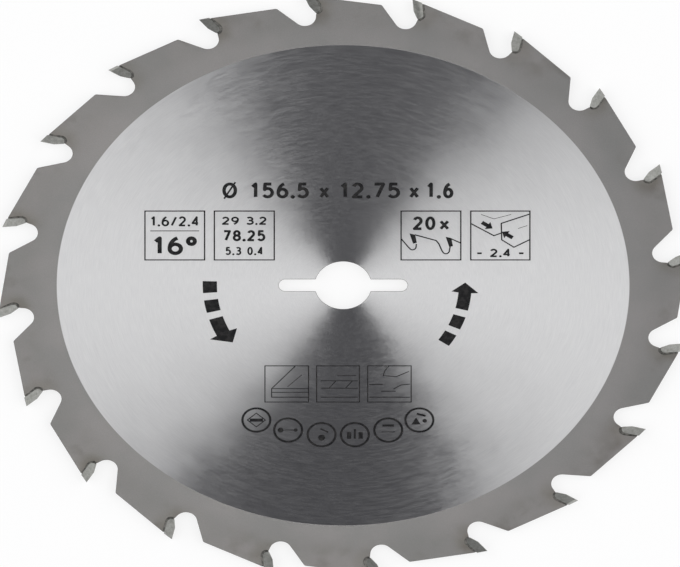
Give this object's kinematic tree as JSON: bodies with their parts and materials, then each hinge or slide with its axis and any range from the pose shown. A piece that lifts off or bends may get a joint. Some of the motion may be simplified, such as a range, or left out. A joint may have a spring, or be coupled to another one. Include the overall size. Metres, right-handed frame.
{
  "type": "circular saw blade",
  "caption": "Round steel saw blade with a central bore, two drive pin slots, deep gullets and carbide tips brazed to its teeth, lying flat.",
  "frame": {"origin": "centre of the bore, at the middle of the plate's thickness", "axes": "+Z is the blade's axis and points out of its printed face; +X runs along the two drive pin slots; seen from +Z the teeth face counter-clockwise"},
  "size_m": [0.1554, 0.1554, 0.0024],
  "materials": {
    "plate_steel": "circular brushed inside, matte blasted rim",
    "carbide": "ground tungsten carbide",
    "braze": "dull, dark seam",
    "print": "thin black ink"
  },
  "bodies": {
    "root": {"blade_plate": "plate_steel", "carbide_tip_01": "carbide", "carbide_tip_02": "carbide", "carbide_tip_03": "carbide", "carbide_tip_04": "carbide", "carbide_tip_05": "carbide", "carbide_tip_06": "carbide", "carbide_tip_07": "carbide", "carbide_tip_08": "carbide", "carbide_tip_09": "carbide", "carbide_tip_10": "carbide", "carbide_tip_11": "carbide", "carbide_tip_12": "carbide", "carbide_tip_13": "carbide", "carbide_tip_14": "carbide", "carbide_tip_15": "carbide", "carbide_tip_16": "carbide", "carbide_tip_17": "carbide", "carbide_tip_18": "carbide", "carbide_tip_19": "carbide", "carbide_tip_20": "carbide"}
  },
  "joints": []
}
